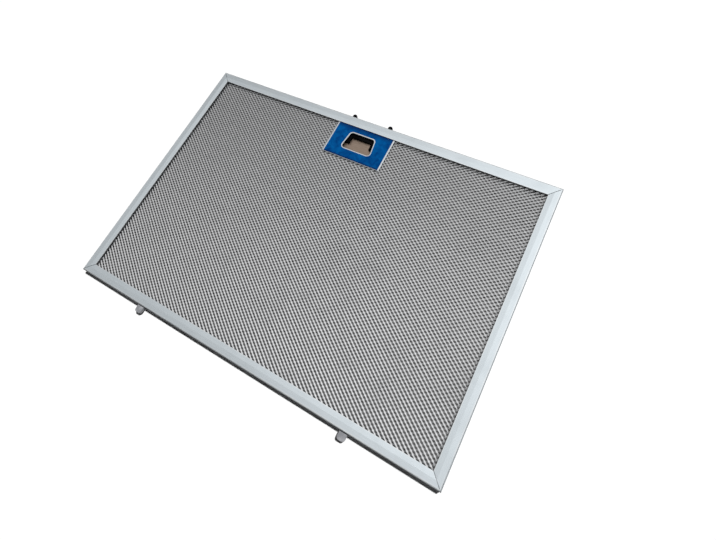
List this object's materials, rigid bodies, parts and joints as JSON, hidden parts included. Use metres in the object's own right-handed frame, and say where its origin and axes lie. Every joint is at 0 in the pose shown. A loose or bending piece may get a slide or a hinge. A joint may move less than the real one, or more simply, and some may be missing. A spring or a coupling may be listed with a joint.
{
  "type": "cooker hood grease filter",
  "caption": "Flat rectangular cooker hood grease filter: metal mesh in a folded channel frame, with a sprung finger latch on a long side and locating tabs on the opposite side.",
  "frame": {"origin": "middle of the plane that the rear rim rests on, at the centre of the frame's rectangle", "axes": "+X along the long sides, +Y towards the latch side, +Z out of the front face"},
  "size_m": [0.38, 0.2718, 0.009],
  "materials": {
    "frame_aluminium": "satin",
    "mesh_aluminium": "raw expanded metal",
    "foil_aluminium": "crimped foil",
    "plate_steel": "bare pressed steel",
    "blue_film": "satin protective film",
    "tray_steel": "passivated zinc plating",
    "latch_plastic": "moulded",
    "spring_steel": "drawn wire",
    "tab_plastic": "moulded"
  },
  "bodies": {
    "cassette": {"frame": "frame_aluminium", "front_mesh": "mesh_aluminium", "rear_mesh": "mesh_aluminium", "foil_layer_1": "foil_aluminium", "foil_layer_2": "foil_aluminium", "foil_layer_3": "foil_aluminium", "foil_layer_4": "foil_aluminium", "handle_plate": "plate_steel", "handle_film": "blue_film", "latch_tray": "tray_steel", "latch_spring_left": "spring_steel", "latch_spring_right": "spring_steel", "locating_tab_left": "tab_plastic", "locating_tab_right": "tab_plastic"},
    "latch": {"latch_slide": "latch_plastic"}
  },
  "joints": [
    {"name": "latch_pull", "type": "slide", "parent": "cassette", "child": "latch", "axis": [0, -1, 0], "range_m": [0, 0.0046], "stiffness_N_per_m": 300, "springref_m": -0.004, "deforming": ["latch_spring_left", "latch_spring_right"]}
  ]
}
